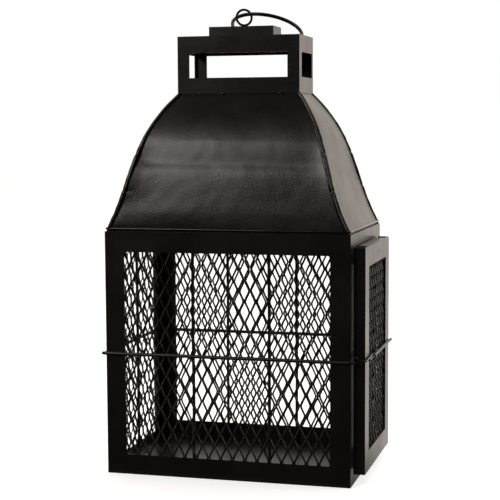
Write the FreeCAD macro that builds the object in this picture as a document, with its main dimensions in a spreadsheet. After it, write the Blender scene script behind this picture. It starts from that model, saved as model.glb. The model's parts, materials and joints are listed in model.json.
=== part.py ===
"""Barn lantern: a wire-mesh box with one hinged door under an ogee roof.

The frame is millimetres, +Z up, +X to the door side, +Y to the back.  The origin
is the middle of the underside, which is the face that the lantern stands on.
"""
import FreeCAD
import Part
import math
import os
import re

from FreeCAD import Placement, Rotation, Vector

DIMENSIONS = [
    # The box frame, made of folded steel angle.
    ("body_width", 305.0, "box, left to right"),
    ("body_depth", 200.0, "box, front to back"),
    ("body_height", 300.0, "box, underside to frame top"),
    ("angle_front", 24.5, "post leg seen from the front"),
    ("angle_side", 24.0, "post leg seen from the side"),
    ("angle_wall", 1.5, "thickness of the angle"),
    ("rail_height", 24.8, "front and back rails"),
    ("left_rail_height", 13.0, "left rails"),
    ("right_rail_height", 24.0, "right rails, round the door opening"),
    ("rail_ledge", 12.0, "inward leg of every rail"),
    ("floor_wall", 1.2, "floor plate thickness"),
    # Expanded metal.
    ("mesh_wall", 1.2, "mesh sheet thickness"),
    ("mesh_pitch_wide", 15.2, "diamond pitch across"),
    ("mesh_pitch_tall", 27.5, "diamond pitch upwards"),
    ("mesh_strand", 2.0, "strand width"),
    ("mesh_edge_gap", 0.5, "mesh sheet to the frame's inner faces"),
    # Wires.
    ("wire_upright_radius", 1.9, "upright wires"),
    ("wire_level_radius", 1.65, "level wires"),
    ("wire_overhang", 5.0, "level wire past the corner"),
    ("wire_height", 150.0, "level wires above the underside"),
    ("wire_mesh_gap", 0.2, "upright wire to mesh"),
    # Roof.
    ("curb_height", 2.0, "spacer strip under the roof"),
    ("roof_half_width", 151.0, "roof base, centre to side"),
    ("roof_half_depth", 98.5, "roof base, centre to front"),
    ("roof_wall", 1.2, "roof sheet, measured level"),
    ("roof_curb_inset", 1.5, "roof base to the spacer strip's outside"),
    ("side_swell_top", 0.667, "left and right panels: upper control point, share of the run"),
    ("side_swell_base", 0.577, "left and right panels: lower control point, share of the run"),
    ("front_swell_top", 0.80, "front and back panels: upper control point, share of the run"),
    ("front_swell_base", 0.97, "front and back panels: lower control point, share of the run"),
    # Cupola.
    ("cupola_base", 466.6, "cupola underside above the lantern's underside"),
    ("cupola_width", 154.4, "cupola, left to right"),
    ("cupola_depth", 75.2, "cupola, front to back"),
    ("cupola_height", 70.6, "cupola, bottom to top"),
    ("cupola_wall", 1.2, "cupola sheet thickness"),
    ("cupola_post", 15.0, "cupola corner posts, seen from the front"),
    ("cupola_front_flange", 12.0, "front frame's side flanges, front to back"),
    ("cupola_back_flange", 6.0, "back frame's side flanges, front to back"),
    ("cupola_top_band", 20.8, "band above the window"),
    ("cupola_low_band", 19.6, "band below the window"),
    ("cap_width", 82.0, "cap, left to right"),
    ("cap_depth", 40.0, "cap, front to back"),
    ("cap_shift", 2.5, "middle of the cap to the front of the cupola's middle"),
    ("cap_height", 12.0, "cap height"),
    # Eye and hanging ring.
    ("eye_offset", -2.0, "eye centre, left or right of the middle"),
    ("eye_rise", 12.1, "eye centre above the cap"),
    ("eye_radius", 9.6, "eye, centre line"),
    ("eye_wire_radius", 1.5, "eye wire"),
    ("eye_turn", 29.7, "eye turned towards the door side, degrees"),
    ("ring_radius", 44.7, "hanging ring, centre line"),
    ("ring_wire_radius", 2.3, "hanging ring wire"),
    ("ring_centre_side", 17.5, "hanging ring's centre, X"),
    ("ring_centre_back", 38.95, "hanging ring's centre, Y"),
    ("ring_centre_rise", -1.05, "hanging ring's centre above the cap"),
    ("ring_turn", 13.3, "direction that the ring leans in, from the back, degrees"),
    ("ring_lean", 22.5, "ring leans back and down by this, degrees"),
    # Door.
    ("door_width", 168.0, "door, front to back"),
    ("door_back_edge", 76.0, "door's hinge edge, Y"),
    ("door_low", 15.0, "door's lower edge"),
    ("door_high", 285.0, "door's upper edge"),
    ("door_inner", 154.5, "door's inner plane, X"),
    ("door_outer", 168.5, "door's outer plane, X"),
    ("door_member", 24.0, "width of stiles and rails"),
    ("door_mesh_inner", 164.3, "inner face of the door mesh, X"),
    ("door_wire_back", 88.0, "back end of the door's level wire, Y"),
    ("door_wire_front", -74.0, "front end of the door's level wire, Y"),
    # Hinges.
    ("hinge_axis_side", 161.0, "hinge axis, X"),
    ("hinge_axis_back", 80.5, "hinge axis, Y"),
    ("hinge_low_height", 60.0, "middle of the lower hinge"),
    ("hinge_high_height", 240.0, "middle of the upper hinge"),
    ("knuckle_radius", 3.0, "knuckle outside"),
    ("knuckle_bore", 1.3, "knuckle bore radius"),
    ("knuckle_length", 12.0, "one knuckle of three"),
    ("knuckle_gap", 0.3, "play between knuckles"),
    ("pin_radius", 1.25, "hinge pin"),
    ("pin_head_radius", 2.2, "hinge pin head"),
    ("pin_head_height", 1.2, "hinge pin head"),
    ("leaf_wall", 1.2, "hinge leaf thickness"),
    ("leaf_width", 16.0, "post leaf, front to back"),
    # Latch.
    ("latch_eye_front", -52.0, "middle of the hook's eye, Y"),
    ("latch_eye_radius", 3.2, "hook's eye, centre line"),
    ("latch_wire_radius", 1.15, "hook wire"),
    ("latch_shank_side", 170.0, "hook shank, X"),
    ("latch_tip_side", 155.5, "end of the hook, X"),
    ("latch_tip_front", -97.0, "bent end of the hook, Y"),
]

doc = FreeCAD.newDocument("BarnLantern")
sheet = doc.addObject("Spreadsheet::Sheet", "Sizes")
sub_parts = []


def fill_sheet():
    """Write each driving dimension to its own row, with its name as the alias."""
    for row, (alias, value, meaning) in enumerate(DIMENSIONS, start=1):
        sheet.set(f"A{row}", meaning)
        sheet.set(f"B{row}", str(value))
        sheet.setAlias(f"B{row}", alias)
    doc.recompute()


def size(alias):
    """Return one driving dimension as a plain number."""
    return float(getattr(sheet, alias))


def expand(expression):
    """Point each dimension named in an expression at its cell."""
    return re.sub(r"[a-z]+(?:_[a-z]+)+", lambda name: "Sizes." + name.group(0), expression)


def bind(thing, **expressions):
    """Bind properties of an object to expressions over the driving dimensions."""
    for name, expression in expressions.items():
        thing.setExpression(name, expand(expression))


def place(thing, where, turn=None):
    """Set an object's orientation and bind its position."""
    thing.Placement = Placement(Vector(), turn or Rotation())
    for axis, expression in zip("xyz", where):
        thing.setExpression("Placement.Base." + axis, expand(expression))


def keep(thing, label):
    """Name an object as one sub-part of the lantern."""
    thing.Label = label
    sub_parts.append(thing)
    return thing


def box(name, low, extent):
    """A block from its lowest corner and its extent along X, Y and Z."""
    block = doc.addObject("Part::Box", name)
    bind(block, Length=extent[0], Width=extent[1], Height=extent[2])
    place(block, low)
    return block


ALONG = {
    "x": Rotation(Vector(0, 1, 0), 90),
    "y": Rotation(Vector(1, 0, 0), -90),
    "z": Rotation(),
    "-x": Rotation(Vector(0, 1, 0), -90),
    "-y": Rotation(Vector(1, 0, 0), 90),
}


def rod(name, start, length, radius, along):
    """A round bar from its start along one axis."""
    bar = doc.addObject("Part::Cylinder", name)
    bind(bar, Radius=radius, Height=length)
    place(bar, start, ALONG[along])
    return bar


def ring(name, centre, ring_radius, wire_radius, turn):
    """A wire bent round a circle."""
    loop = doc.addObject("Part::Torus", name)
    bind(loop, Radius1=ring_radius, Radius2=wire_radius)
    place(loop, centre, turn)
    return loop


def join(name, pieces):
    """One piece made of overlapping or touching shapes."""
    whole = doc.addObject("Part::MultiFuse", name)
    whole.Shapes = pieces
    whole.Refine = True
    return whole


def cut(name, base, tool):
    """One shape with another taken out of it."""
    rest = doc.addObject("Part::Cut", name)
    rest.Base = base
    rest.Tool = tool
    return rest


def group(name, pieces):
    """Separate solids that are alike and share one node."""
    bunch = doc.addObject("Part::Compound", name)
    bunch.Links = pieces
    return bunch


def shaped(label, shape, placement=None):
    """A sub-part whose outline no primitive makes."""
    feature = doc.addObject("Part::Feature", label)
    feature.Shape = shape
    feature.Placement = placement or Placement()
    return keep(feature, label)


# ---------------------------------------------------------------- box frame

def make_posts():
    """Four upright angles, each with one leg to the front or back and one to the side."""
    for end, front_or_back in (("front", -1), ("back", 1)):
        for hand, left_or_right in (("left", -1), ("right", 1)):
            label = f"post_{end}_{hand}"
            wide_x = "-body_width / 2" if left_or_right < 0 else "body_width / 2 - angle_front"
            thin_x = "-body_width / 2" if left_or_right < 0 else "body_width / 2 - angle_wall"
            thin_y = "-body_depth / 2" if front_or_back < 0 else "body_depth / 2 - angle_wall"
            wide_y = "-body_depth / 2" if front_or_back < 0 else "body_depth / 2 - angle_side"
            face = box(label + "_face", (wide_x, thin_y, "0"),
                       ("angle_front", "angle_wall", "body_height"))
            side = box(label + "_side", (thin_x, wide_y, "0"),
                       ("angle_wall", "angle_side", "body_height"))
            keep(join(label, [face, side]), label)


def make_rails():
    """Level angles between the posts, each with its second leg inwards."""
    front_span = "body_width - 2 * angle_front"
    side_span = "body_depth - 2 * angle_side"
    heights = (("top", "body_height - rail_height", "body_height - angle_wall"),
               ("bottom", "0", "floor_wall"))
    for level, rail_low, ledge_low in heights:
        for end, face_y, ledge_y in (
                ("front", "-body_depth / 2", "-body_depth / 2"),
                ("back", "body_depth / 2 - angle_wall", "body_depth / 2 - rail_ledge")):
            label = f"rail_{end}_{level}"
            face = box(label + "_face", ("-body_width / 2 + angle_front", face_y, rail_low),
                       (front_span, "angle_wall", "rail_height"))
            ledge = box(label + "_ledge", ("-body_width / 2 + angle_front", ledge_y, ledge_low),
                        (front_span, "rail_ledge", "angle_wall"))
            keep(join(label, [face, ledge]), label)
        for hand, face_x, ledge_x in (
                ("left", "-body_width / 2", "-body_width / 2"),
                ("right", "body_width / 2 - angle_wall", "body_width / 2 - rail_ledge")):
            label = f"rail_{hand}_{level}"
            height = f"{hand}_rail_height"
            side_low = f"body_height - {height}" if level == "top" else "0"
            face = box(label + "_face", (face_x, "-body_depth / 2 + angle_side", side_low),
                       ("angle_wall", side_span, height))
            ledge = box(label + "_ledge", (ledge_x, "-body_depth / 2 + angle_side", ledge_low),
                        ("rail_ledge", side_span, "angle_wall"))
            keep(join(label, [face, ledge]), label)


def make_floor():
    """The plate that a candle or lamp stands on, flush with the frame's underside."""
    plate = box("floor_plate",
                ("-body_width / 2 + angle_wall", "-body_depth / 2 + angle_wall", "0"),
                ("body_width - 2 * angle_wall", "body_depth - 2 * angle_wall", "floor_wall"))
    keep(plate, "floor_plate")


# ---------------------------------------------------------------- mesh

def diamond(centre_x, centre_z, half_wide, half_tall):
    """The outline of one diamond hole in the XZ plane."""
    corners = [
        Vector(centre_x, 0, centre_z + half_tall),
        Vector(centre_x + half_wide, 0, centre_z),
        Vector(centre_x, 0, centre_z - half_tall),
        Vector(centre_x - half_wide, 0, centre_z),
    ]
    return Part.makePolygon(corners + corners[:1])


def pierced_sheet(width, height, open_width, open_height):
    """A sheet in the XZ plane, centred, with staggered diamonds over its open part."""
    pitch_wide = size("mesh_pitch_wide")
    pitch_tall = size("mesh_pitch_tall")
    cell_reach = pitch_wide * pitch_tall / (2 * math.hypot(pitch_wide, pitch_tall))
    share = 1 - size("mesh_strand") / (2 * cell_reach)
    half_wide = share * pitch_wide / 2
    half_tall = share * pitch_tall / 2
    rim = [
        Vector(-width / 2, 0, -height / 2),
        Vector(width / 2, 0, -height / 2),
        Vector(width / 2, 0, height / 2),
        Vector(-width / 2, 0, height / 2),
    ]
    holes = []
    columns = math.ceil(open_width / pitch_wide)
    rows = math.ceil(open_height / (pitch_tall / 2))
    reach_x = min(open_width / 2 + pitch_wide / 2, width / 2 - half_wide - 1)
    reach_z = min(open_height / 2 + pitch_tall / 2, height / 2 - half_tall - 1)
    for row in range(-rows, rows + 1):
        centre_z = row * pitch_tall / 2
        shift = (row % 2) * pitch_wide / 2
        for column in range(-columns, columns + 1):
            centre_x = column * pitch_wide + shift
            if abs(centre_x) <= reach_x and abs(centre_z) <= reach_z:
                holes.append(diamond(centre_x, centre_z, half_wide, half_tall))
    face = Part.Face([Part.makePolygon(rim + rim[:1])] + holes)
    return face.extrude(Vector(0, size("mesh_wall"), 0))


def make_meshes():
    """Expanded metal behind the front, back and left frames."""
    wall = size("angle_wall")
    gap = size("mesh_edge_gap")
    sheet_wall = size("mesh_wall")
    height = size("body_height") - 2 * wall - 2 * size("floor_wall") - gap
    open_high = size("body_height") - 2 * size("rail_height")
    front = pierced_sheet(size("body_width") - 2 * wall - 2 * gap, height,
                          size("body_width") - 2 * size("angle_front"), open_high)
    side = pierced_sheet(size("body_depth") - 2 * wall - 2 * sheet_wall - 2 * gap, height,
                         size("body_depth") - 2 * size("angle_side"),
                         size("body_height") - 2 * size("left_rail_height"))
    middle = size("body_height") / 2
    front_y = -size("body_depth") / 2 + wall
    side_x = -size("body_width") / 2 + wall
    shaped("mesh_front", front, Placement(Vector(0, front_y, middle), Rotation()))
    shaped("mesh_back", front, Placement(Vector(0, -front_y - sheet_wall, middle), Rotation()))
    shaped("mesh_left", side,
           Placement(Vector(side_x, 0, middle), Rotation(Vector(0, 0, 1), -90)))


# ---------------------------------------------------------------- wires

def make_wires():
    """Upright wires behind the mesh, and level wires round the outside of the frame."""
    low = "floor_wall + angle_wall"
    tall = "body_height - floor_wall - 2 * angle_wall"
    inset = "angle_wall + mesh_wall + wire_mesh_gap + wire_upright_radius"
    for end, side, places in (("front", "-", (-42, 53)), ("back", "", (-53, 42))):
        sign = -1 if side else 1
        y_place = f"{sign} * (body_depth / 2 - ({inset}))"
        bars = [rod(f"wire_{end}_upright_{number}", (f"{x}", y_place, low), tall,
                    "wire_upright_radius", "z")
                for number, x in enumerate(places, start=1)]
        keep(group(f"wires_{end}_upright", bars), f"wires_{end}_upright")
        level = rod(f"wire_{end}_level",
                    ("-body_width / 2 - wire_overhang",
                     f"{sign} * (body_depth / 2 + wire_level_radius)", "wire_height"),
                    "body_width + 2 * wire_overhang", "wire_level_radius", "x")
        keep(level, f"wire_{end}_level")
    keep(rod("wire_left_upright", (f"-(body_width / 2 - ({inset}))", "0", low), tall,
             "wire_upright_radius", "z"), "wire_left_upright")
    keep(rod("wire_left_level",
             ("-body_width / 2 - wire_level_radius", "-body_depth / 2 + mesh_edge_gap",
              "wire_height"),
             "body_depth - 2 * mesh_edge_gap", "wire_level_radius", "y"), "wire_left_level")


# ---------------------------------------------------------------- roof

def roof_curve(base_reach, top_reach, swell_top, swell_base):
    """Control points of one panel's S curve in the XZ plane, from the cupola to the eaves."""
    low = size("body_height") + size("curb_height")
    rise = size("cupola_base") - low
    run = base_reach - top_reach
    return [
        Vector(top_reach, 0, low + rise),
        Vector(top_reach + run * swell_top, 0, low + rise * 2 / 3),
        Vector(top_reach + run * swell_base, 0, low + rise / 3),
        Vector(base_reach, 0, low),
    ]


def face_between(poles, others):
    """The face between two S curves of the same height."""
    edges = []
    for points in (poles, others):
        curve = Part.BezierCurve()
        curve.setPoles(points)
        edges.append(curve.toShape())
    for end in (0, -1):
        edges.append(Part.LineSegment(poles[end], others[end]).toShape())
    return Part.Face(Part.Wire(Part.__sortEdges__(edges)))


def moved_level(poles, shift):
    """The same curve moved along X."""
    return [pole + Vector(shift, 0, 0) for pole in poles]


def roof_panel(poles, beside):
    """A panel that faces +X, ending where the curves of the panels beside it pass."""
    reach = 2 * size("roof_half_width")
    sheet_face = face_between(poles, moved_level(poles, -size("roof_wall")))
    sheet_face.translate(Vector(0, -reach / 2, 0))
    slab = sheet_face.extrude(Vector(0, reach, 0))
    mirrored = [Vector(-pole.x, 0, pole.z) for pole in beside]
    room_face = face_between(beside, mirrored)
    room_face.translate(Vector(0, -reach / 2, 0))
    room = room_face.extrude(Vector(0, reach, 0))
    room.rotate(Vector(), Vector(0, 0, 1), 90)
    return slab.common(room).Solids[0]


def make_roof():
    """A spacer strip and four panels: the left and right ones fit inside the other two."""
    outer = box("roof_curb_outer",
                ("-roof_half_width + roof_curb_inset", "-roof_half_depth + roof_curb_inset",
                 "body_height"),
                ("2 * (roof_half_width - roof_curb_inset)",
                 "2 * (roof_half_depth - roof_curb_inset)", "curb_height"))
    inner = box("roof_curb_inner",
                ("-body_width / 2 + angle_front", "-body_depth / 2 + angle_side", "body_height"),
                ("body_width - 2 * angle_front", "body_depth - 2 * angle_side", "curb_height"))
    keep(cut("roof_curb", outer, inner), "roof_curb")

    side_curve = roof_curve(size("roof_half_width"), size("cupola_width") / 2,
                            size("side_swell_top"), size("side_swell_base"))
    front_curve = roof_curve(size("roof_half_depth"), size("cupola_depth") / 2,
                             size("front_swell_top"), size("front_swell_base"))
    side = roof_panel(side_curve, moved_level(front_curve, -size("roof_wall")))
    front = roof_panel(front_curve, side_curve)
    for label, shape, turn in (("roof_right", side, 0), ("roof_left", side, 180),
                               ("roof_front", front, -90), ("roof_back", front, 90)):
        shaped(label, shape, Placement(Vector(), Rotation(Vector(0, 0, 1), turn)))


# ---------------------------------------------------------------- cupola

def make_cupola():
    """Front and back window frames with side flanges, side bands, top and cap."""
    window_height = "cupola_height - cupola_top_band - cupola_low_band"
    half_depth = "cupola_depth / 2"
    for end, face_y, flange_y in (
            ("front", f"-{half_depth}", f"-{half_depth}"),
            ("back", f"{half_depth} - cupola_wall", f"{half_depth} - cupola_back_flange")):
        label = f"cupola_{end}_frame"
        face = box(label + "_face", ("-cupola_width / 2", face_y, "cupola_base"),
                   ("cupola_width", "cupola_wall", "cupola_height"))
        window = box(label + "_window",
                     ("-cupola_width / 2 + cupola_post", face_y, "cupola_base + cupola_low_band"),
                     ("cupola_width - 2 * cupola_post", "cupola_wall", window_height))
        flanges = [
            box(f"{label}_flange_{hand}", (flange_x, flange_y, "cupola_base"),
                ("cupola_wall", f"cupola_{end}_flange", "cupola_height"))
            for hand, flange_x in (("left", "-cupola_width / 2"),
                                   ("right", "cupola_width / 2 - cupola_wall"))]
        keep(join(label, [cut(label + "_open", face, window)] + flanges), label)
    for hand, band_x in (("left", "-cupola_width / 2"),
                         ("right", "cupola_width / 2 - cupola_wall")):
        label = f"cupola_{hand}_bands"
        bands = [
            box(f"{label}_{level}", (band_x, f"-{half_depth} + cupola_front_flange", low),
                ("cupola_wall", "cupola_depth - cupola_front_flange - cupola_back_flange", high))
            for level, low, high in (
                ("low", "cupola_base", "cupola_low_band"),
                ("top", "cupola_base + cupola_height - cupola_top_band", "cupola_top_band"))]
        keep(group(label, bands), label)
    top = box("cupola_top_plate",
              ("-cupola_width / 2 + cupola_wall", "-cupola_depth / 2 + cupola_wall",
               "cupola_base + cupola_height - cupola_wall"),
              ("cupola_width - 2 * cupola_wall", "cupola_depth - 2 * cupola_wall", "cupola_wall"))
    keep(top, "cupola_top_plate")

    cap = box("cap_shell",
              ("-cap_width / 2", "-cap_depth / 2 - cap_shift", "cupola_base + cupola_height"),
              ("cap_width", "cap_depth", "cap_height"))
    hollow = box("cap_hollow",
                 ("-cap_width / 2 + cupola_wall", "-cap_depth / 2 - cap_shift + cupola_wall",
                  "cupola_base + cupola_height"),
                 ("cap_width - 2 * cupola_wall", "cap_depth - 2 * cupola_wall",
                  "cap_height - cupola_wall"))
    keep(cut("cap_box", cap, hollow), "cap_box")


# ---------------------------------------------------------------- hanging ring

CAP_TOP = "cupola_base + cupola_height + cap_height"


def make_hanger():
    """An upright eye welded to the cap, and the ring that hangs the lantern."""
    upright = Rotation(Vector(0, 0, 1), size("eye_turn")).multiply(Rotation(Vector(1, 0, 0), 90))
    loop = ring("eye_loop", ("eye_offset", "0", f"{CAP_TOP} + eye_rise"),
                "eye_radius", "eye_wire_radius", upright)
    stem = rod("eye_stem", ("eye_offset", "0", CAP_TOP), "eye_rise - eye_radius",
               "eye_wire_radius", "z")
    keep(join("eye", [loop, stem]), "eye")

    turn = Rotation(Vector(0, 0, 1), -size("ring_turn"))
    lean = Rotation(Vector(1, 0, 0), -size("ring_lean"))
    hanging = ring("hanging_ring",
                   ("ring_centre_side", "ring_centre_back", f"{CAP_TOP} + ring_centre_rise"),
                   "ring_radius", "ring_wire_radius", turn.multiply(lean))
    keep(hanging, "hanging_ring")


# ---------------------------------------------------------------- door

def make_door():
    """Two stiles, two rails, the mesh behind them and the wires across it."""
    face_x = "door_outer - angle_wall"
    flange_deep = "door_outer - door_inner"
    tall = "door_high - door_low"
    for side, face_y, flange_y in (
            ("latch", "door_back_edge - door_width", "door_back_edge - door_width"),
            ("hinge", "door_back_edge - door_member", "door_back_edge - angle_wall")):
        label = f"door_stile_{side}"
        face = box(label + "_face", (face_x, face_y, "door_low"),
                   ("angle_wall", "door_member", tall))
        flange = box(label + "_flange", ("door_inner", flange_y, "door_low"),
                     (flange_deep, "angle_wall", tall))
        keep(join(label, [face, flange]), label)
    between = "door_width - 2 * door_member"
    between_low = "door_back_edge - door_width + door_member"
    for level, face_z, flange_z in (
            ("top", "door_high - door_member", "door_high - angle_wall"),
            ("bottom", "door_low", "door_low")):
        label = f"door_rail_{level}"
        face = box(label + "_face", (face_x, between_low, face_z),
                   ("angle_wall", between, "door_member"))
        flange = box(label + "_flange", ("door_inner", between_low, flange_z),
                     (flange_deep, between, "angle_wall"))
        keep(join(label, [face, flange]), label)

    gap = size("mesh_edge_gap")
    member = size("door_member")
    wide = size("door_width") - 2 * size("angle_wall") - 2 * gap
    high = size("door_high") - size("door_low") - 2 * size("angle_wall") - 2 * gap
    sheet_shape = pierced_sheet(wide, high, wide - 2 * member, high - 2 * member)
    middle = (size("door_high") + size("door_low")) / 2
    centre_back = size("door_back_edge") - size("door_width") / 2
    shaped("door_mesh", sheet_shape,
           Placement(Vector(size("door_mesh_inner"), centre_back, middle),
                     Rotation(Vector(0, 0, 1), -90)))

    keep(rod("door_wire_upright",
             ("door_mesh_inner - wire_mesh_gap - wire_upright_radius",
              "door_back_edge - door_width / 2",
              "door_low + angle_wall"),
             "door_high - door_low - 2 * angle_wall", "wire_upright_radius", "z"),
         "door_wire_upright")
    keep(rod("door_wire_level", ("door_outer + wire_level_radius", "door_wire_front", "wire_height"),
             "door_wire_back - door_wire_front", "wire_level_radius", "y"), "door_wire_level")


# ---------------------------------------------------------------- hinges

def knuckle(name, low, length):
    """A solid barrel on the hinge axis."""
    return rod(name, ("hinge_axis_side", "hinge_axis_back", low), length, "knuckle_radius", "z")


def make_hinge(which, middle):
    """A three-knuckle hinge: the post has the outer two and the door has the middle one."""
    whole_low = f"{middle} - 1.5 * knuckle_length"
    whole_tall = "3 * knuckle_length"
    bore_start = ("hinge_axis_side", "hinge_axis_back", f"{middle} - 2 * knuckle_length")

    post_leaf = box(f"{which}_post_plate",
                    ("body_width / 2", "hinge_axis_back + 1", whole_low),
                    ("leaf_wall", "leaf_width", whole_tall))
    pieces = [post_leaf]
    for level, low in (("low", whole_low), ("top", f"{middle} + 0.5 * knuckle_length")):
        pieces.append(knuckle(f"{which}_post_knuckle_{level}", low, "knuckle_length"))
        pieces.append(box(f"{which}_post_web_{level}",
                          ("body_width / 2 + leaf_wall", "hinge_axis_back + 1", low),
                          ("hinge_axis_side - body_width / 2 - leaf_wall", "leaf_wall",
                           "knuckle_length")))
    post_side = join(f"{which}_post_solid", pieces)
    post_bore = rod(f"{which}_post_bore", bore_start, "4 * knuckle_length", "knuckle_bore", "z")
    label = f"hinge_{which}_post_leaf"
    keep(cut(label, post_side, post_bore), label)

    door_low_end = f"{middle} - 0.5 * knuckle_length + knuckle_gap"
    door_tall = "knuckle_length - 2 * knuckle_gap"
    door_plate = box(f"{which}_door_plate",
                     ("door_inner + 1", "door_back_edge", whole_low),
                     ("door_outer - door_inner - 2", "leaf_wall", whole_tall))
    door_web = box(f"{which}_door_web",
                   ("hinge_axis_side - leaf_wall / 2", "door_back_edge + leaf_wall",
                    door_low_end),
                   ("leaf_wall", "hinge_axis_back - door_back_edge - leaf_wall - knuckle_bore",
                    door_tall))
    barrel = knuckle(f"{which}_door_knuckle", door_low_end, door_tall)
    door_side = join(f"{which}_door_solid", [door_plate, door_web, barrel])
    door_bore = rod(f"{which}_door_bore", bore_start, "4 * knuckle_length", "knuckle_bore", "z")
    label = f"hinge_{which}_door_leaf"
    keep(cut(label, door_side, door_bore), label)

    shaft = rod(f"{which}_pin_shaft", ("hinge_axis_side", "hinge_axis_back", whole_low),
                whole_tall, "pin_radius", "z")
    head = rod(f"{which}_pin_head",
               ("hinge_axis_side", "hinge_axis_back", f"{middle} + 1.5 * knuckle_length"),
               "pin_head_height", "pin_head_radius", "z")
    label = f"hinge_{which}_pin"
    keep(join(label, [shaft, head]), label)


# ---------------------------------------------------------------- latch

def make_latch():
    """A wire hook that swings on the door's level wire and drops over the front wire's end."""
    shank_height = "wire_height + latch_eye_radius"
    loop = ring("latch_loop", ("door_outer + wire_level_radius", "latch_eye_front", "wire_height"),
                "latch_eye_radius", "latch_wire_radius", ALONG["y"])
    shank = rod("latch_shank", ("latch_shank_side", "latch_eye_front", shank_height),
                "latch_eye_front - latch_tip_front", "latch_wire_radius", "-y")
    corner = doc.addObject("Part::Sphere", "latch_corner")
    bind(corner, Radius="latch_wire_radius")
    place(corner, ("latch_shank_side", "latch_tip_front", shank_height))
    tip = rod("latch_tip", ("latch_shank_side", "latch_tip_front", shank_height),
              "latch_shank_side - latch_tip_side", "latch_wire_radius", "-x")
    keep(join("latch_hook", [loop, shank, corner, tip]), "latch_hook")


def check_and_export():
    """Stop on any failed object, then write one STEP file for each sub-part."""
    doc.recompute()
    for thing in doc.Objects:
        if "Invalid" in thing.State or "Error" in thing.State:
            raise RuntimeError(f"{thing.Label} did not compute: {thing.State}")
    os.makedirs("parts", exist_ok=True)
    for thing in sub_parts:
        shape = thing.Shape
        if shape.isNull() or not shape.isValid() or not shape.Solids:
            raise RuntimeError(f"{thing.Label} has no valid solid")
        shape.exportStep(f"parts/{thing.Label}.step")
        print(f"{thing.Label}: {len(shape.Solids)} solid, {shape.Volume:.0f} mm3")
    print(f"{len(sub_parts)} sub-parts")


fill_sheet()
make_posts()
make_rails()
make_floor()
make_meshes()
make_wires()
make_roof()
make_cupola()
make_hanger()
make_door()
for hinge_name, hinge_middle in (("lower", "hinge_low_height"), ("upper", "hinge_high_height")):
    make_hinge(hinge_name, hinge_middle)
make_latch()
check_and_export()
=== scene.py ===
"""A black barn lantern in a white studio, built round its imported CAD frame.

Everything is in metres in the CAD's own frame: +Z up, +X to the door, +Y to the back.
"""
import itertools
import json
import math
import random

import bmesh
import bpy
from mathutils import Matrix, Vector, noise


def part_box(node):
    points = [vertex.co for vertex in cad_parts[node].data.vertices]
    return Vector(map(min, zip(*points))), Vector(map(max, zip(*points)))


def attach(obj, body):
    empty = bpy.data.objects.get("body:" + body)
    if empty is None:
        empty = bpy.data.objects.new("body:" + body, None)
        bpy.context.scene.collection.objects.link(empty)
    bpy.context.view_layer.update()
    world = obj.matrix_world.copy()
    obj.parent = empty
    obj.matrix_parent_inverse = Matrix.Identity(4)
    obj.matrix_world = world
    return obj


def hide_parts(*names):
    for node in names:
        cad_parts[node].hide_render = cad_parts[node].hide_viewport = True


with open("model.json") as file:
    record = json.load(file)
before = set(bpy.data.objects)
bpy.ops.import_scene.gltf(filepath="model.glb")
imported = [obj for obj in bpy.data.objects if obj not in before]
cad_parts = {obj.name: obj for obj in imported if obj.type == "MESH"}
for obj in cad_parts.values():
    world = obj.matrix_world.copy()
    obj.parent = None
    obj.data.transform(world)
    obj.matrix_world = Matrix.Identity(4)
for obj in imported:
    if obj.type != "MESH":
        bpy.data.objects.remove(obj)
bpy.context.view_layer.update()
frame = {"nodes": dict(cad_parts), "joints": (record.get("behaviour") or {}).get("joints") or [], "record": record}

MM = 0.001
chance = random.Random(7)


# ---------------------------------------------------------------- camera, light and floor

def make_camera():
    """The viewpoint: right of the middle, a little above the box, looking slightly down."""
    place = Vector((0.4466, -1.6345, 0.4290))
    yaw = math.radians(15.15)
    pitch = math.radians(5.33)
    roll = math.radians(-0.29)
    forward = Vector((-math.sin(yaw) * math.cos(pitch), math.cos(yaw) * math.cos(pitch),
                      -math.sin(pitch)))
    level = forward.cross(Vector((0, 0, 1))).normalized()
    upright = level.cross(forward)
    right = level * math.cos(roll) + upright * math.sin(roll)
    up = upright * math.cos(roll) - level * math.sin(roll)
    data = bpy.data.cameras.new("camera")
    data.lens = 96.95
    data.sensor_width = 36
    data.clip_start = 0.01
    data.clip_end = 60
    camera = bpy.data.objects.new("camera", data)
    turn = Matrix((right, up, -forward)).transposed()
    camera.matrix_world = Matrix.Translation(place) @ turn.to_4x4()
    bpy.context.collection.objects.link(camera)
    bpy.context.scene.camera = camera


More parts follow.
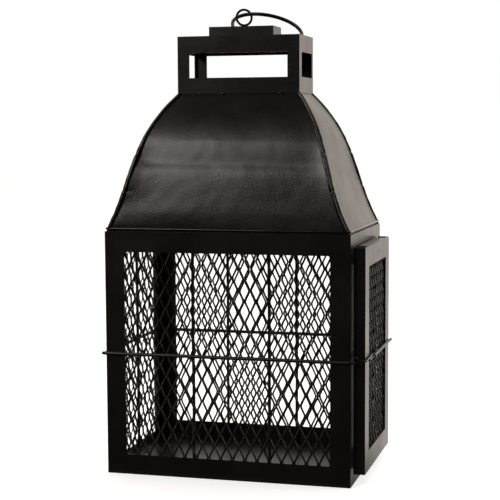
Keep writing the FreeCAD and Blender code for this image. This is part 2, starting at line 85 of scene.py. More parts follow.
def make_world():
    """A white room: bright behind the lantern, dim in front of it, white to the eye."""
    world = bpy.data.worlds.new("studio")
    bpy.context.scene.world = world
    world.use_nodes = True
    nodes = world.node_tree.nodes
    links = world.node_tree.links
    nodes.clear()
    output = nodes.new("ShaderNodeOutputWorld")
    white = nodes.new("ShaderNodeBackground")
    white.inputs["Color"].default_value = (1, 1, 1, 1)
    white.inputs["Strength"].default_value = 1.0
    room = nodes.new("ShaderNodeBackground")
    room.inputs["Strength"].default_value = 1.12
    where = nodes.new("ShaderNodeTexCoord")
    parts = nodes.new("ShaderNodeSeparateXYZ")
    ramp = nodes.new("ShaderNodeValToRGB")
    ramp.color_ramp.interpolation = "EASE"
    ramp.color_ramp.elements[0].position = 0.38
    ramp.color_ramp.elements[0].color = (0.025, 0.023, 0.022, 1)
    ramp.color_ramp.elements[1].position = 0.90
    ramp.color_ramp.elements[1].color = (1.0, 0.91, 0.82, 1)
    # The ramp reads 0 for straight to the front and 1 for straight to the back.
    shift = nodes.new("ShaderNodeMath")
    shift.operation = "MULTIPLY_ADD"
    shift.inputs[1].default_value = 0.5
    shift.inputs[2].default_value = 0.5
    seen = nodes.new("ShaderNodeLightPath")
    choose = nodes.new("ShaderNodeMixShader")
    links.new(where.outputs["Generated"], parts.inputs[0])
    links.new(parts.outputs["Y"], shift.inputs[0])
    links.new(shift.outputs[0], ramp.inputs[0])
    links.new(ramp.outputs["Color"], room.inputs["Color"])
    links.new(seen.outputs["Is Camera Ray"], choose.inputs[0])
    links.new(room.outputs[0], choose.inputs[1])
    links.new(white.outputs[0], choose.inputs[2])
    links.new(choose.outputs[0], output.inputs[0])


def add_area(name, place, target, width, height, power):
    """A soft, slightly warm rectangular lamp aimed at a point."""
    data = bpy.data.lights.new(name, "AREA")
    data.shape = "RECTANGLE"
    data.size = width
    data.size_y = height
    data.energy = power
    data.color = (1.0, 0.92, 0.88)
    lamp = bpy.data.objects.new(name, data)
    lamp.location = place
    lamp.rotation_euler = (Vector(target) - Vector(place)).to_track_quat("-Z", "Y").to_euler()
    bpy.context.collection.objects.link(lamp)


def make_lights():
    """A weak soft box above, one at the right, and one high at the front left for the roof."""
    target = Vector((0, 0, 0.40))
    add_area("overhead", (0.1, 1.2, 2.6), target, 2.4, 1.6, 14)
    add_area("right_side", (2.4, 0.9, 1.1), target, 1.6, 2.0, 24)
    bearing = math.radians(34.5)
    climb = math.radians(29)
    distance = 3.0
    away = Vector((-math.sin(bearing) * math.cos(climb), -math.cos(bearing) * math.cos(climb),
                   math.sin(climb)))
    add_area("front_left", target + away * distance, target, 1.55, 1.45, 37)


def map_range(nodes, from_low, from_high, to_low, to_high):
    """A node that turns one range of a value into another, and holds it at both ends."""
    node = nodes.new("ShaderNodeMapRange")
    node.inputs["From Min"].default_value = from_low
    node.inputs["From Max"].default_value = from_high
    node.inputs["To Min"].default_value = to_low
    node.inputs["To Max"].default_value = to_high
    return node


def make_floor():
    """A plain pale floor that throws little light back up at the lantern's front."""
    shape = bmesh.new()
    bmesh.ops.create_grid(shape, x_segments=8, y_segments=8, size=12)
    mesh = bpy.data.meshes.new("floor")
    shape.to_mesh(mesh)
    shape.free()
    floor = bpy.data.objects.new("floor", mesh)
    floor.location.z = -0.2 * MM
    material = bpy.data.materials.new("floor_white")
    material.use_nodes = True
    nodes = material.node_tree.nodes
    links = material.node_tree.links
    shader = nodes["Principled BSDF"]
    shader.inputs["Base Color"].default_value = (0.93, 0.93, 0.93, 1)
    shader.inputs["Roughness"].default_value = 0.8
    shader.inputs["Emission Color"].default_value = (1, 1, 1, 1)
    shader.inputs["Emission Strength"].default_value = 0.66

    # The camera sees a white floor. The lantern is lit by a glow that is dim in front of it.
    glow = nodes.new("ShaderNodeEmission")
    glow.inputs["Color"].default_value = (1.0, 0.93, 0.86, 1)
    where = nodes.new("ShaderNodeTexCoord")
    parts = nodes.new("ShaderNodeSeparateXYZ")
    front_edge = -0.12
    back_edge = 0.16
    fade = map_range(nodes, front_edge, back_edge, 0.03, 1.15)
    seen = nodes.new("ShaderNodeLightPath")
    choose = nodes.new("ShaderNodeMixShader")
    links.new(seen.outputs["Is Camera Ray"], choose.inputs[0])
    links.new(where.outputs["Object"], parts.inputs[0])
    links.new(parts.outputs["Y"], fade.inputs["Value"])
    links.new(fade.outputs[0], glow.inputs["Strength"])
    links.new(glow.outputs[0], choose.inputs[1])
    links.new(shader.outputs[0], choose.inputs[2])
    links.new(choose.outputs[0], nodes["Material Output"].inputs["Surface"])
    mesh.materials.append(material)
    bpy.context.collection.objects.link(floor)


# ---------------------------------------------------------------- paint

# Sockets of a Mix node that blends two colours.
MIX_SHARE = 0
MIX_FIRST = 6
MIX_SECOND = 7
MIX_COLOUR = 2


def paint(name, deep, worn, smooth, rough, grain, height, shine=0.5):
    """Black coat whose colour, gloss and orange peel vary over the metal.

    deep and worn are the coat's own darkest and palest colour, under paler dust, and smooth and
    rough its least and most roughness. grain is the scale of the orange peel, and height its
    depth in metres.
    """
    material = bpy.data.materials.new(name)
    material.use_nodes = True
    nodes = material.node_tree.nodes
    links = material.node_tree.links
    shader = nodes["Principled BSDF"]
    shader.inputs["Specular IOR Level"].default_value = shine
    where = nodes.new("ShaderNodeTexCoord")

    # Clouds of wear mix the two colours.
    cloud = nodes.new("ShaderNodeTexNoise")
    cloud.inputs["Scale"].default_value = 14
    cloud.inputs["Detail"].default_value = 4
    cloud.inputs["Roughness"].default_value = 0.62
    colour = nodes.new("ShaderNodeMix")
    colour.data_type = "RGBA"
    colour.inputs[MIX_FIRST].default_value = (*deep, 1)
    colour.inputs[MIX_SECOND].default_value = (*worn, 1)

    # Small specks of dust, strongest where the coat is worn.
    speck = nodes.new("ShaderNodeTexVoronoi")
    speck.inputs["Scale"].default_value = grain * 0.45
    speck_edge = map_range(nodes, 0.02, 0.16, 1.0, 0.0)
    dust = nodes.new("ShaderNodeMix")
    dust.data_type = "RGBA"
    dust.inputs[MIX_SECOND].default_value = (*[channel * 1.5 for channel in worn], 1)
    dust_share = nodes.new("ShaderNodeMath")
    dust_share.operation = "MULTIPLY"

    # The worn clouds are rougher too, and the orange peel is a fine bump.
    gloss = map_range(nodes, 0.3, 0.7, smooth, rough)
    peel = nodes.new("ShaderNodeTexNoise")
    peel.inputs["Scale"].default_value = grain
    peel.inputs["Detail"].default_value = 3
    bump = nodes.new("ShaderNodeBump")
    bump.inputs["Strength"].default_value = 0.5
    bump.inputs["Distance"].default_value = height

    for texture in (cloud, speck, peel):
        links.new(where.outputs["Object"], texture.inputs["Vector"])
    links.new(cloud.outputs["Fac"], colour.inputs[MIX_SHARE])
    links.new(colour.outputs[MIX_COLOUR], dust.inputs[MIX_FIRST])
    links.new(speck.outputs["Distance"], speck_edge.inputs["Value"])
    links.new(speck_edge.outputs[0], dust_share.inputs[0])
    links.new(cloud.outputs["Fac"], dust_share.inputs[1])
    links.new(dust_share.outputs[0], dust.inputs[MIX_SHARE])
    links.new(dust.outputs[MIX_COLOUR], shader.inputs["Base Color"])
    links.new(cloud.outputs["Fac"], gloss.inputs["Value"])
    links.new(gloss.outputs[0], shader.inputs["Roughness"])
    links.new(peel.outputs["Fac"], bump.inputs["Height"])
    links.new(bump.outputs["Normal"], shader.inputs["Normal"])
    return material


def make_paints():
    """One coat for each material slot of the record."""
    warm = (0.0048, 0.0040, 0.0034)
    warm_worn = (0.0115, 0.0098, 0.0084)
    return {
        "frame_paint": paint("frame_paint", warm, warm_worn, 0.26, 0.40, 700, 0.00010),
        "door_paint": paint("door_paint", warm, warm_worn, 0.26, 0.40, 700, 0.00010),
        "cupola_paint": paint("cupola_paint", warm, warm_worn, 0.24, 0.38, 700, 0.00010),
        "roof_paint": paint("roof_paint", (0.0062, 0.0052, 0.0048), (0.0140, 0.0120, 0.0110),
                            0.25, 0.37, 520, 0.00036),
        "seam_paint": paint("seam_paint", (0.0050, 0.0045, 0.0042), (0.0130, 0.0115, 0.0105),
                            0.12, 0.26, 800, 0.00006),
        "mesh_paint": paint("mesh_paint", warm, warm_worn, 0.36, 0.55, 1000, 0.00010),
        "wire_paint": paint("wire_paint", warm, warm_worn, 0.28, 0.46, 1000, 0.00008),
        "hinge_paint": paint("hinge_paint", warm, warm_worn, 0.28, 0.46, 900, 0.00010),
        "ring_paint": paint("ring_paint", (0.0035, 0.0035, 0.0038), (0.009, 0.009, 0.0095),
                            0.30, 0.42, 600, 0.00004, 0.16),
    }


def coat_frame(paints):
    """Paint every CAD node and round its folded edges. Pieces replace some nodes later."""
    slots = {entry["node"]: entry["material_slot"] for entry in frame["record"]["subparts"]}
    for name, node in frame["nodes"].items():
        node.data.materials.clear()
        node.data.materials.append(paints[slots[name]])
        soften = node.modifiers.new("folded_edges", "BEVEL")
        soften.width = 0.35 * MM
        soften.segments = 2
        soften.limit_method = "ANGLE"
        soften.angle_limit = math.radians(40)


# ---------------------------------------------------------------- mesh helpers

def add_piece(name, shape, body, material, replaced=(), smooth=True):
    """Turn a bmesh into a piece that rides on a body and takes a slot's finish."""
    bmesh.ops.recalc_face_normals(shape, faces=shape.faces)
    mesh = bpy.data.meshes.new(name)
    shape.to_mesh(mesh)
    shape.free()
    for polygon in mesh.polygons:
        polygon.use_smooth = smooth
    mesh.materials.append(material)
    piece = bpy.data.objects.new(name, mesh)
    bpy.context.collection.objects.link(piece)
    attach(piece, body)
    if replaced:
        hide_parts(*replaced)
    return piece


def add_tube(shape, path, radii, sides=10, closed=False):
    """Sweep a round section along points, with one radius for each point.

    guide starts in a direction that no path here runs along, and keeps the section from turning.
    """
    rings = []
    count = len(path)
    guide = Vector((0.137, 0.291, 0.947))
    for index, point in enumerate(path):
        if closed:
            ahead = path[(index + 1) % count] - path[index - 1]
        else:
            ahead = path[min(index + 1, count - 1)] - path[max(index - 1, 0)]
        across = ahead.cross(guide).normalized()
        guide = across.cross(ahead).normalized()
        ring = []
        for side in range(sides):
            angle = 2 * math.pi * side / sides
            offset = across * math.cos(angle) + guide * math.sin(angle)
            ring.append(shape.verts.new(point + offset * radii[index]))
        rings.append(ring)
    spans = count if closed else count - 1
    for index in range(spans):
        first = rings[index]
        second = rings[(index + 1) % count]
        shift = 0
        if closed and index == spans - 1:
            shift = min(range(sides), key=lambda turn: sum(
                (first[side].co - second[(side + turn) % sides].co).length
                for side in range(sides)))
        for side in range(sides):
            after = (side + 1) % sides
            shape.faces.new((first[side], first[after], second[(after + shift) % sides],
                             second[(side + shift) % sides]))
    if not closed:
        shape.faces.new(rings[0])
        shape.faces.new(rings[-1])


def add_weld(shape, centre, along, long, wide, tall):
    """A small lump of weld metal: a squashed ball with an uneven skin."""
    lump = bmesh.ops.create_icosphere(shape, subdivisions=2, radius=1.0)
    along = along.normalized()
    turn = along.to_track_quat("X", "Z").to_matrix()
    unevenness = 0.22
    for vertex in lump["verts"]:
        swell = 1 + unevenness * noise.noise(vertex.co * 1.7 + centre * 900)
        local = Vector((vertex.co.x * long, vertex.co.y * wide, vertex.co.z * tall)) * swell
        vertex.co = centre + turn @ local


# ---------------------------------------------------------------- expanded metal

PITCH_WIDE = 15.2 * MM
PITCH_TALL = 27.5 * MM
STRAND_WIDE = 2.2 * MM
STRAND_DEEP = 1.25 * MM
STRAND_TILT = math.radians(26)

# A strand starts this far from the middle of its bond, sideways and out of the sheet.
BOND_STEP = 0.85 * MM
BOND_LIFT = 0.55 * MM

# How much of a strand's run sideways is even, and how much eases in and out at its bonds.
EVEN_SHARE = 0.45
EASED_SHARE = 0.55

# The frame holds a sheet flat at its edge, and less and less over this distance.
HELD_MARGIN = 25 * MM


def strand_section(low, hand, part, jitter, sag):
    """The four corners of a strand's section, part of the way up from its lower bond.

    low is the bond's place in the sheet, and hand is the side that the strand leaves to.
    """
    ease = part * part * (3 - 2 * part)
    run = PITCH_WIDE / 2 - 2 * BOND_STEP
    x = low.x + hand * (BOND_STEP + run * (EVEN_SHARE * part + EASED_SHARE * ease)) + jitter
    z = low.y + PITCH_TALL / 2 * part
    y = hand * BOND_LIFT * math.cos(math.pi * part) + sag(x, z)
    slope = hand * run * (EVEN_SHARE + EASED_SHARE * 6 * part * (1 - part))
    lean = math.atan2(slope, PITCH_TALL / 2)
    tilt = hand * STRAND_TILT
    across = Vector((math.cos(lean) * math.cos(tilt), math.sin(tilt),
                     -math.sin(lean) * math.cos(tilt)))
    deep = Vector((-math.sin(tilt), math.cos(tilt), 0))
    centre = Vector((x, y, z))
    return [centre + across * (STRAND_WIDE / 2 * a) + deep * (STRAND_DEEP / 2 * b)
            for a, b in ((-1, -1), (1, -1), (1, 1), (-1, 1))]


def add_strand(shape, low, hand, jitter, sag):
    """One strand from a bond up to the next row, closed at both ends."""
    stations = 6
    rings = []
    for station in range(stations):
        section = strand_section(low, hand, station / (stations - 1), jitter, sag)
        rings.append([shape.verts.new(corner) for corner in section])
    for first, second in zip(rings, rings[1:]):
        for side in range(4):
            after = (side + 1) % 4
            shape.faces.new((first[side], first[after], second[after], second[side]))
    shape.faces.new(rings[0])
    shape.faces.new(rings[-1])


def expanded_metal(width, height, waviness, seed, phase):
    """Raised expanded metal in the XZ plane: every strand leaves its bonds upright and tilted.

    phase 1 moves the pattern by half a diamond.
    """
    shape = bmesh.new()
    half_columns = int(width / 2 / (PITCH_WIDE / 2))
    half_rows = int(height / 2 / (PITCH_TALL / 2))

    def sag(x, z):
        """How far the sheet stands off its own plane at a point."""
        edge = min(1, (width / 2 - abs(x)) / HELD_MARGIN, (height / 2 - abs(z)) / HELD_MARGIN)
        here = Vector((x * 9 + seed * 7.3, z * 7, seed * 3.1))
        return waviness * max(0, edge) * noise.noise(here)

    for row in range(-half_rows, half_rows):
        for column in range(-half_columns, half_columns + 1):
            if (row + column + phase) % 2:
                continue
            low = Vector((column * PITCH_WIDE / 2, row * PITCH_TALL / 2))
            for hand in (-1, 1):
                if abs(column + hand) > half_columns:
                    continue
                add_strand(shape, low, hand, chance.uniform(-0.12, 0.12) * MM, sag)
    return shape


def make_meshes(paints):
    """Expanded metal behind each frame, filling the room that its CAD sheet holds."""
    for number, (node, body) in enumerate((("mesh_front", "frame"), ("mesh_back", "frame"),
                                           ("mesh_left", "frame"), ("door_mesh", "door"))):
        low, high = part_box(node)
        centre = (low + high) / 2
        span = high - low
        lengthways = span.x < span.y
        width = span.y if lengthways else span.x
        wave = (2.6 if lengthways else 0.9) * MM
        shape = expanded_metal(width, span.z, wave, number + 1, int(node == "mesh_back"))
        turn = Matrix.Rotation(math.radians(90 if lengthways else 0), 4, "Z")
        bmesh.ops.transform(shape, matrix=Matrix.Translation(centre) @ turn, verts=shape.verts)
        add_piece(node + "_strands", shape, body, paints["mesh_paint"], (node,),
                  smooth=False)


# ---------------------------------------------------------------- roof

SHEET_INSET = 0.4 * MM

# Shares of the whole run out that the ogee's two middle control points have reached.
SIDE_SWELL = (0.667, 0.577)
FRONT_SWELL = (0.80, 0.97)

# Signs of x and y at the roof's corners, in turn round it.
ROOF_CORNERS = ((1, -1), (1, 1), (-1, 1), (-1, -1))

# Creases across the front sheet: share of the way down, change of slope in mm, softness, and
# how much lower the crease is at the left hip.
FRONT_CREASES = ((0.0, 6.0, 0.004, 0.0), (0.085, -11.0, 0.012, 0.0), (0.352, -19.0, 0.006, 0.07),
                 (0.514, 66.0, 0.013, -0.01), (0.562, -46.0, 0.018, 0.0), (0.62, 4.0, 0.02, 0.0),
                 (0.70, 5.0, 0.02, 0.0), (0.78, 8.0, 0.02, 0.0), (0.872, -3.0, 0.005, 0.0))

# Puckers at the front sheet's left hip: share of the way down, depth in mm, half height at the
# hip, how fast that grows along the sheet, and how far along it they reach.
FRONT_PUCKERS = ((0.445, 2.2, 0.090, 0.05, 0.22), (0.475, 0.5, 0.012, 0.08, 0.05),
                 (0.80, 1.7, 0.130, 0.00, 0.28), (0.715, 0.6, 0.010, 0.08, 0.06))

# Nicks in the rolled hip seams: share of the way down and depth in mm.
HIP_NICKS = ((0.45, 0.8), (0.71, 0.7))

# Spots of solder on the hips: share of the way down and half length in mm.
HIP_SOLDER = ((0.01, 3.4), (0.06, 2.0), (0.45, 2.2), (0.71, 2.0), (0.97, 2.2))


def ogee_share(down, swell):
    """How far out the roof has run, from 0 at the cupola to 1 at the eaves."""
    up = 1 - down
    return 3 * up * up * down * swell[0] + 3 * up * down * down * swell[1] + down ** 3


def make_roof_panel(name, paints, reach, half, turn, dent):
    """One sheet of the roof, facing +X before its turn, with the dents of hand work.

    reach and half each hold the value at the cupola, the value at the eaves and the swell.
    """
    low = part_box(name)[0].z
    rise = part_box(name)[1].z - low
    shape = bmesh.new()
    rows = 200
    columns = 110
    grid = []
    for row in range(rows + 1):
        down = row / rows
        out = reach[0] + (reach[1] - reach[0]) * ogee_share(down, reach[2])
        wide = half[0] + (half[1] - half[0]) * ogee_share(down, half[2])
        line = []
        for column in range(columns + 1):
            across = 2 * column / columns - 1
            inwards = dent(across, down) + SHEET_INSET
            line.append(shape.verts.new((out - inwards, across * wide, low + rise * (1 - down))))
        grid.append(line)
    for row in range(rows):
        for column in range(columns):
            shape.faces.new((grid[row][column], grid[row + 1][column],
                             grid[row + 1][column + 1], grid[row][column + 1]))
    bmesh.ops.rotate(shape, verts=shape.verts, cent=(0, 0, 0),
                     matrix=Matrix.Rotation(math.radians(turn), 3, "Z"))
    piece = add_piece(name + "_sheet", shape, "frame", paints["roof_paint"], (name,))
    thick = piece.modifiers.new("sheet", "SOLIDIFY")
    thick.thickness = 0.9 * MM
    thick.offset = -1


def bump_at(value, middle, spread):
    """A smooth hump of height 1."""
    return math.exp(-((value - middle) / spread) ** 2)


def bend_after(value, place, softness):
    """A line that is 0 before a place and rises evenly after it, with a soft corner."""
    reach = (value - place) / softness
    return softness * (math.log1p(math.exp(reach)) if reach < 30 else reach)


def held_edges(across, down):
    """1 over most of a sheet, falling to 0 at the four edges that seams hold."""
    return (1 - across ** 12) * (1 - (2 * down - 1) ** 24)


def front_dents(across, down):
    """How far the front sheet is pushed in: its creases, a belly, and puckers at the left hip."""
    from_left = across + 1
    crease_tilt = 0.012
    pinch_reach = 0.16
    relief = 0.0
    for place, slope, softness, pinch in FRONT_CREASES:
        place += crease_tilt * across + pinch * math.exp(-from_left / pinch_reach)
        relief += slope * bend_after(down, place, softness)
    belly = 1.1 * (1 - across * across) * math.sin(math.pi * down)
    belly += 0.9 * down * bump_at(across, -0.35, 0.75) * bump_at(down, 0.86, 0.20)
    wander = 0.55 * noise.noise(Vector((across * 2.1, down * 3.2, 4.0)))
    wander += 0.13 * noise.noise(Vector((across * 9.0, down * 11.0, 2.0)))
    pucker = 0.0
    for place, size, narrow, spread, reach in FRONT_PUCKERS:
        width = narrow + spread * from_left
        pucker += size * bump_at(down, place, width) * math.exp(-from_left / reach)
    return ((wander - relief - belly) * held_edges(across, down) + pucker) * MM


def plain_dents(seed):
    """Gentle creases and waves in a sheet that was bent by hand."""
    def dent(across, down):
        relief = sum(slope * bend_after(down, place, 0.02)
                     for place, slope in ((0.30, -5.0), (0.56, 10.0), (0.80, -4.5)))
        wander = 0.8 * noise.noise(Vector((across * 1.6, down * 2.4, seed)))
        belly = 1.0 * (1 - across * across) * math.sin(math.pi * down)
        return (wander - relief - belly) * held_edges(across, down) * MM
    return dent


def hip_point(top, base, down):
    """X and Y on the hip line of the corner at +X and +Y, for a share of the way down."""
    return (top.x + (base.x - top.x) * ogee_share(down, SIDE_SWELL),
            top.y + (base.y - top.y) * ogee_share(down, FRONT_SWELL))


def make_sheets(paints, top, base):
    """The roof's four dented sheets."""
    along_x = (top.x, base.x, SIDE_SWELL)
    along_y = (top.y, base.y, FRONT_SWELL)
    make_roof_panel("roof_right", paints, along_x, along_y, 0, plain_dents(1.5))
    make_roof_panel("roof_left", paints, along_x, along_y, 180, plain_dents(5.5))
    make_roof_panel("roof_front", paints, along_y, along_x, -90, front_dents)
    make_roof_panel("roof_back", paints, along_y, along_x, 90, plain_dents(9.5))


def make_rolled_seams(paints, top, base):
    """Two uneven rolled edges side by side down each hip, nicked where they are soldered.

    Strand 0 lies on the edge of the front or back sheet, and strand 1 on the side sheet's.
    """
    shape = bmesh.new()
    steps = 120
    nick_height = 0.012
    for sign_x, sign_y, strand in itertools.product((-1, 1), (-1, 1), (0, 1)):
        inset_x = (0.2 if strand else 3.0) * MM
        inset_y = (3.2 if strand else 0.0) * MM
        roll = 1.45 if strand else 1.75
        path = []
        radii = []
        for step in range(steps + 1):
            down = step / steps
            x, y = hip_point(top, base, down)
            drift = Vector((noise.noise(Vector((step * 0.12, sign_x, sign_y))),
                            noise.noise(Vector((step * 0.12, sign_y, 3 + sign_x))), 0))
            nick = MM * sum(size * bump_at(down, place, nick_height) for place, size in HIP_NICKS)
            path.append(Vector((sign_x * (x - inset_x - nick), sign_y * (y - inset_y - nick),
                                base.z + (top.z - base.z) * (1 - down))) + drift * 0.5 * MM)
            swell = 0.26 * noise.noise(Vector((step * 0.26, sign_x * 2 + strand, sign_y)))
            radii.append((roll + swell) * MM)
        add_tube(shape, path, radii, sides=14)
    add_piece("roof_rolled_seams", shape, "frame", paints["seam_paint"])


def make_hem(paints, base):
    """The rolled hem round the eaves, which wanders a little up and down."""
    shape = bmesh.new()
    radius = 1.35 * MM
    sunk = 0.35 * MM
    steps = 40
    corners = [Vector((sign_x * (base.x - sunk), sign_y * (base.y - sunk), base.z + radius))
               for sign_x, sign_y in ROOF_CORNERS]
    for start, end in zip(corners, corners[1:] + corners[:1]):
        path = []
        for step in range(steps + 1):
            drift = Vector((0, 0, 0.25 * MM * noise.noise(Vector((step * 0.35, start.x * 9, 2)))))
            path.append(start.lerp(end, step / steps) + drift)
        add_tube(shape, path, [radius] * len(path), sides=10)
    add_piece("roof_hem", shape, "frame", paints["seam_paint"])


def make_solder(paints, top, base):
    """Solder down the hips, at the cupola's foot and in the gap under the roof's corners."""
    shape = bmesh.new()
    for sign_x, sign_y in itertools.product((-1, 1), (-1, 1)):
        for down, long in HIP_SOLDER:
            x, y = hip_point(top, base, down)
            place = Vector((sign_x * (x - 2.0 * MM), sign_y * (y + 0.5 * MM),
                            top.z - (top.z - base.z) * down))
            add_weld(shape, place, Vector((sign_x * 0.5, sign_y * 0.3, -1.0)),
                     long * MM, 1.6 * MM, 1.5 * MM)
    for share, sign_y in itertools.product((-0.62, -0.25, 0.70), (-1, 1)):
        place = Vector((share * top.x, sign_y * (top.y + 0.6 * MM), top.z + 0.4 * MM))
        add_weld(shape, place, Vector((1, 0, 0)), 3.0 * MM, 1.3 * MM, 1.2 * MM)
    gap_low, gap_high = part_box("roof_curb")
    gap = gap_high.z - gap_low.z
    inset = 1.7 * MM
    for sign_x, sign_y in ROOF_CORNERS:
        place = Vector((sign_x * (base.x - inset), sign_y * (base.y - inset), gap_low.z + gap / 2))
        add_weld(shape, place, Vector((1, 0, 0)), 2.0 * MM, 2.0 * MM, gap / 2 + 0.9 * MM)
    add_piece("roof_solder", shape, "frame", paints["seam_paint"])


def make_roof(paints):
    """The roof, from the ends of its hip line at the cupola and at the eaves."""
    low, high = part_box("roof_right")
    crown_low, crown_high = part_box("cupola_front_frame")
    top = Vector((crown_high.x, -crown_low.y, high.z))
    base = Vector((high.x, -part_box("roof_front")[0].y, low.z))
    make_sheets(paints, top, base)
    make_rolled_seams(paints, top, base)
    make_hem(paints, base)
    make_solder(paints, top, base)


# ---------------------------------------------------------------- wires, welds, ring

WIRES = {"wire_front_level": "frame", "wire_back_level": "frame", "wire_left_level": "frame",
         "wire_left_upright": "frame", "wires_front_upright": "frame",
         "wires_back_upright": "frame", "door_wire_level": "door", "door_wire_upright": "door"}

# What a level wire's coat adds to its radius.
FRAME_COAT = 0.55 * MM
DOOR_COAT = 0.25 * MM

# The eye's turn about the upright and the radius of its wire.
EYE_TURN = math.radians(29.7)
EYE_WIRE = 1.5 * MM


def wire_boxes(node):
    """The lowest and highest corner of each separate wire in a CAD node, from left to right."""
    points = sorted((vertex.co.copy() for vertex in node.data.vertices),
                    key=lambda point: point.x)
    groups = [[points[0]]]
    for point in points[1:]:
        if point.x - groups[-1][-1].x > 5 * MM and "level" not in node.name:
            groups.append([])
        groups[-1].append(point)
    return [tuple(Vector(pick(point[axis] for point in group) for axis in range(3))
                  for pick in (min, max)) for group in groups]


def wire_path(centre, axis, wander_axis, long, seed):
    """Points along a wire that wanders a little between its two held ends."""
    steps = 60
    path = []
    for step in range(steps + 1):
        along = (2 * step / steps - 1) * long
        point = centre.copy()
        point[axis] += along
        held = 1 - (along / long) ** 4
        where = Vector((along * 11, seed + centre.x * 40, 5.0))
        point[wander_axis] += 0.6 * MM * held * noise.noise(where)
        path.append(point)
    return path


def make_wires(paints):
    """Hand-straightened wires in place of the CAD rods, thinner at their cut ends.

    A level wire's coat makes it thicker on its inner side: its outer side stays on the rod's.
    """
    taper = 2.0 * MM
    for number, (name, body) in enumerate(WIRES.items()):
        shape = bmesh.new()
        level = "level" in name
        coat = DOOR_COAT if body == "door" else FRAME_COAT
        wander_axis = 2 if level else int("left" in name or body == "door")
        for low, high in wire_boxes(frame["nodes"][name]):
            centre = (low + high) / 2
            span = high - low
            axis = max(range(3), key=lambda item: span[item])
            radius = max(span[item] for item in range(3) if item != axis) / 2
            if level:
                # It runs along X or Y, and the other of the two points out of its wall.
                radius += coat
                outward = 1 - axis
                centre[outward] -= math.copysign(coat, centre[outward])
            long = span[axis] / 2 - 0.1 * MM
            path = wire_path(centre, axis, wander_axis, long, number * 3.7)
            from_end = [(long - abs(point[axis] - centre[axis])) / taper for point in path]
            radii = [radius * min(1.0, 0.86 + 0.14 * share) for share in from_end]
            add_tube(shape, path, radii, sides=14)
        add_piece(name + "_wire", shape, body, paints["wire_paint"], (name,))


def make_welds(paints):
    """Lumps of weld where the wires meet the frame and the door."""
    shape = bmesh.new()
    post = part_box("post_front_right")[1].x
    for node in ("wire_front_level", "wire_back_level"):
        low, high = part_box(node)
        middle = (low + high) / 2
        outward = 1 if middle.y > 0 else -1
        for hand, inset in itertools.product((-1, 1), (4, 19)):
            place = Vector((hand * (post - inset * MM), middle.y - outward * 0.9 * MM, middle.z))
            add_weld(shape, place, Vector((1, 0, 0)), 2.6 * MM, 1.2 * MM, 1.9 * MM)
    low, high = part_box("wire_left_level")
    for end in (low.y + 8 * MM, high.y - 8 * MM):
        add_weld(shape, Vector((low.x + 1.6 * MM, end, (low.z + high.z) / 2)),
                 Vector((0, 1, 0)), 2.6 * MM, 1.1 * MM, 1.9 * MM)
    add_piece("frame_welds", shape, "frame", paints["wire_paint"])

    shape = bmesh.new()
    low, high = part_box("door_wire_level")
    stile_low, stile_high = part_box("door_stile_hinge")
    centre_x = (low.x + high.x) / 2 - 0.8 * MM
    for y in (low.y + 3 * MM, stile_low.y + 4 * MM, stile_high.y - 4 * MM):
        add_weld(shape, Vector((centre_x, y, (low.z + high.z) / 2)), Vector((0, 1, 0)),
                 2.4 * MM, 1.1 * MM, 1.8 * MM)
    for rail in ("door_rail_top", "door_rail_bottom"):
        low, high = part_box(rail)
        add_weld(shape, Vector((high.x - 0.1 * MM, 0, (low.z + high.z) / 2)), Vector((0, 0, 1)),
                 3.5 * MM, 0.35 * MM, 0.35 * MM)
    add_piece("door_welds", shape, "door", paints["wire_paint"])


def make_ring(paints):
    """The loose ring, with a small lump where the ends of its wire were welded."""
    joint = next(item for item in frame["joints"] if item["name"] == "ring_swing")
    hinge = Vector(joint["pos_m"])
    tangent = Vector(joint["axis"]).normalized()
    low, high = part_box("hanging_ring")
    centre = (low + high) / 2
    arm = centre - hinge
    radius = arm.length
    arm.normalize()
    weld_place = math.pi * 0.78
    shape = bmesh.new()
    path = []
    radii = []
    steps = 160
    for step in range(steps):
        angle = 2 * math.pi * step / steps
        path.append(centre - arm * radius * math.cos(angle) + tangent * radius * math.sin(angle))
        weld = bump_at(angle, weld_place, 0.035)
        radii.append((2.28 + 0.35 * weld) * MM)
    add_tube(shape, path, radii, sides=18, closed=True)
    add_piece("hanging_ring_wire", shape, "ring", paints["ring_paint"],
              ("hanging_ring",))


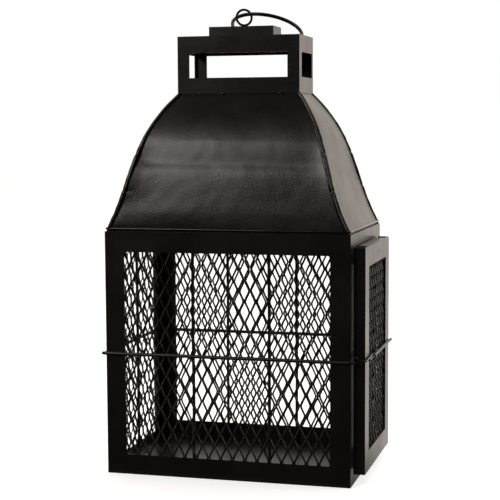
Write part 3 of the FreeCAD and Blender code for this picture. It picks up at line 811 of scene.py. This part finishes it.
def make_eye(paints):
    """The eye that holds the ring: a closed loop of wire on a stem that widens at its foot."""
    low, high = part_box("eye")
    turn = Matrix.Rotation(EYE_TURN, 3, "Z")
    radius = (high.x - low.x - 2 * EYE_WIRE) / 2 / math.cos(EYE_TURN)
    centre = Vector(((low.x + high.x) / 2, (low.y + high.y) / 2, high.z - EYE_WIRE - radius))
    shape = bmesh.new()
    path = []
    steps = 96
    for step in range(steps):
        angle = 2 * math.pi * step / steps - math.pi / 2
        path.append(centre + turn @ Vector((math.cos(angle), 0, math.sin(angle))) * radius)
    add_tube(shape, path, [EYE_WIRE] * steps, sides=14, closed=True)
    foot = centre - Vector((0, 0, radius))
    stem = [Vector((foot.x, foot.y, low.z + (foot.z - low.z) * part))
            for part in (0, 0.2, 0.45, 0.7, 1)]
    add_tube(shape, stem, [EYE_WIRE * swell for swell in (2.1, 1.6, 1.25, 1.1, 1.0)], sides=14)
    add_piece("eye_wire", shape, "frame", paints["ring_paint"], ("eye",))


def rounded_path(points, bend, steps=7):
    """Straight runs through points with an even bend of a given reach at each one."""
    path = [points[0]]
    for before, corner, after in zip(points, points[1:], points[2:]):
        start = corner + (before - corner).normalized() * bend
        end = corner + (after - corner).normalized() * bend
        for step in range(steps + 1):
            part = step / steps
            path.append(start * (1 - part) ** 2 + corner * 2 * part * (1 - part) + end * part ** 2)
    path.append(points[-1])
    return path


def make_latch(paints):
    """The hook: a wire wound round the door's level wire and bent in to the post."""
    joint = next(item for item in frame["joints"] if item["name"] == "latch_pivot")
    pivot = Vector(joint["pos_m"])
    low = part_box("latch_hook")[0]
    wire = 1.08 * MM
    loop = 3.25 * MM
    turns = 2.25
    length = 2.35 * turns * MM
    steps = 54
    path = []
    for step in range(steps + 1):
        left = 1 - step / steps
        angle = math.pi / 2 + 2 * math.pi * turns * left
        path.append(pivot + Vector((math.cos(angle) * loop, length * left,
                                    math.sin(angle) * loop)))
    last = path[-1]
    corner = Vector((pivot.x + 0.25 * MM, low.y + wire, last.z - 1.2 * MM))
    rise = Vector((low.x + 7.5 * MM, low.y + wire, last.z - 0.4 * MM))
    tip = Vector((low.x + wire, low.y + wire, last.z + 4.6 * MM))
    path.extend(rounded_path([last + Vector((0, -3 * MM, 0)), corner, rise, tip], 1.9 * MM))
    shape = bmesh.new()
    add_tube(shape, path, [wire] * (len(path) - 1) + [wire * 0.75], sides=12)
    add_piece("latch_hook_wire", shape, "latch", paints["wire_paint"],
              ("latch_hook",))


make_camera()
make_world()
make_lights()
make_floor()
bpy.context.scene.view_settings.view_transform = "Standard"
all_paints = make_paints()
coat_frame(all_paints)
make_meshes(all_paints)
make_roof(all_paints)
make_wires(all_paints)
make_welds(all_paints)
make_ring(all_paints)
make_eye(all_paints)
make_latch(all_paints)
